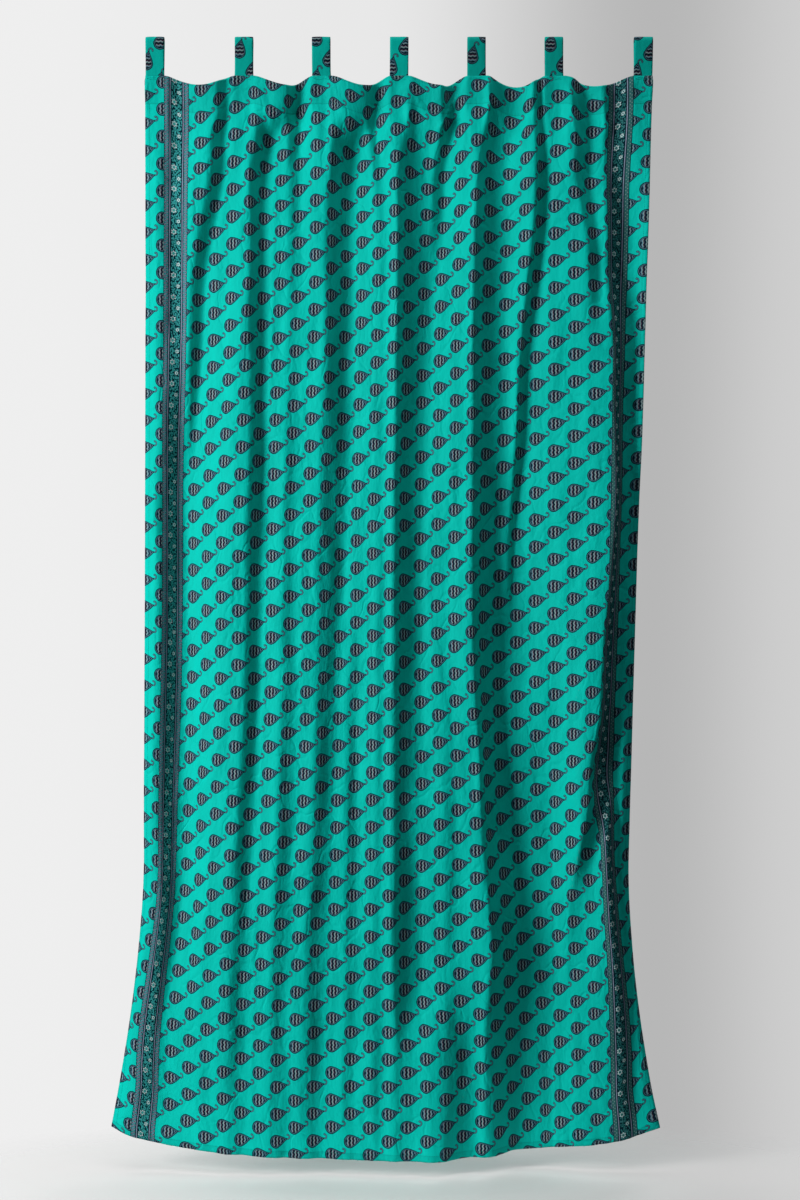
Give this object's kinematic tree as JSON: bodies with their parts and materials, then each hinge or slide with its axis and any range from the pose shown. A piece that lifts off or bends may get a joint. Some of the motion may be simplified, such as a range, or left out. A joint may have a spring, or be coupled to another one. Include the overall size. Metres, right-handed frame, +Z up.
{
  "type": "tab-top curtain panel",
  "caption": "Full-length tab-top curtain panel of printed cloth that hangs by sewn loops on a round pole and draws to one side.",
  "frame": {"origin": "on the axis of the pole that the loops hang on, midway between the two end loops", "axes": "+X along the pole to the right as seen from the room, +Z up; the printed face looks towards -Y"},
  "size_m": [1.1106, 0.0576, 2.2482],
  "materials": {
    "printed_cloth": "satin",
    "tab_cloth": "satin",
    "cloth_reverse": "matte",
    "thread": "matte"
  },
  "bodies": {
    "curtain": {"panel": "printed_cloth", "heading_facing": "cloth_reverse", "bottom_hem": "cloth_reverse", "side_hem_left": "cloth_reverse", "side_hem_right": "cloth_reverse", "heading_stitch_upper": "thread", "heading_stitch_lower": "thread", "bottom_hem_stitch": "thread", "side_stitch_left": "thread", "side_stitch_right": "thread", "tab_1": "tab_cloth", "tab_tack_1": "thread"},
    "runner_2": {"tab_2": "tab_cloth", "tab_tack_2": "thread"},
    "runner_3": {"tab_3": "tab_cloth", "tab_tack_3": "thread"},
    "runner_4": {"tab_4": "tab_cloth", "tab_tack_4": "thread"},
    "runner_5": {"tab_5": "tab_cloth", "tab_tack_5": "thread"},
    "runner_6": {"tab_6": "tab_cloth", "tab_tack_6": "thread"},
    "runner_7": {"tab_7": "tab_cloth", "tab_tack_7": "thread"}
  },
  "joints": [
    {"name": "slide_2", "type": "slide", "parent": "curtain", "child": "runner_2", "axis": [-1, 0, 0], "range_m": [0, 0.1251]},
    {"name": "slide_3", "type": "slide", "parent": "curtain", "child": "runner_3", "axis": [-1, 0, 0], "range_m": [0, 0.2336]},
    {"name": "slide_4", "type": "slide", "parent": "curtain", "child": "runner_4", "axis": [-1, 0, 0], "range_m": [0, 0.3421]},
    {"name": "slide_5", "type": "slide", "parent": "curtain", "child": "runner_5", "axis": [-1, 0, 0], "range_m": [0, 0.4506]},
    {"name": "slide_6", "type": "slide", "parent": "curtain", "child": "runner_6", "axis": [-1, 0, 0], "range_m": [0, 0.5591]},
    {"name": "draw", "type": "slide", "parent": "curtain", "child": "runner_7", "axis": [-1, 0, 0], "range_m": [0, 0.6832], "deforming": ["panel", "heading_facing", "bottom_hem", "side_hem_left", "side_hem_right", "heading_stitch_upper", "heading_stitch_lower", "bottom_hem_stitch", "side_stitch_left", "side_stitch_right"]}
  ],
  "couplings": [
    {"joint": "slide_2", "follows": "draw", "ratio": 0.18238},
    {"joint": "slide_3", "follows": "draw", "ratio": 0.34119},
    {"joint": "slide_4", "follows": "draw", "ratio": 0.5},
    {"joint": "slide_5", "follows": "draw", "ratio": 0.65881},
    {"joint": "slide_6", "follows": "draw", "ratio": 0.81762}
  ]
}
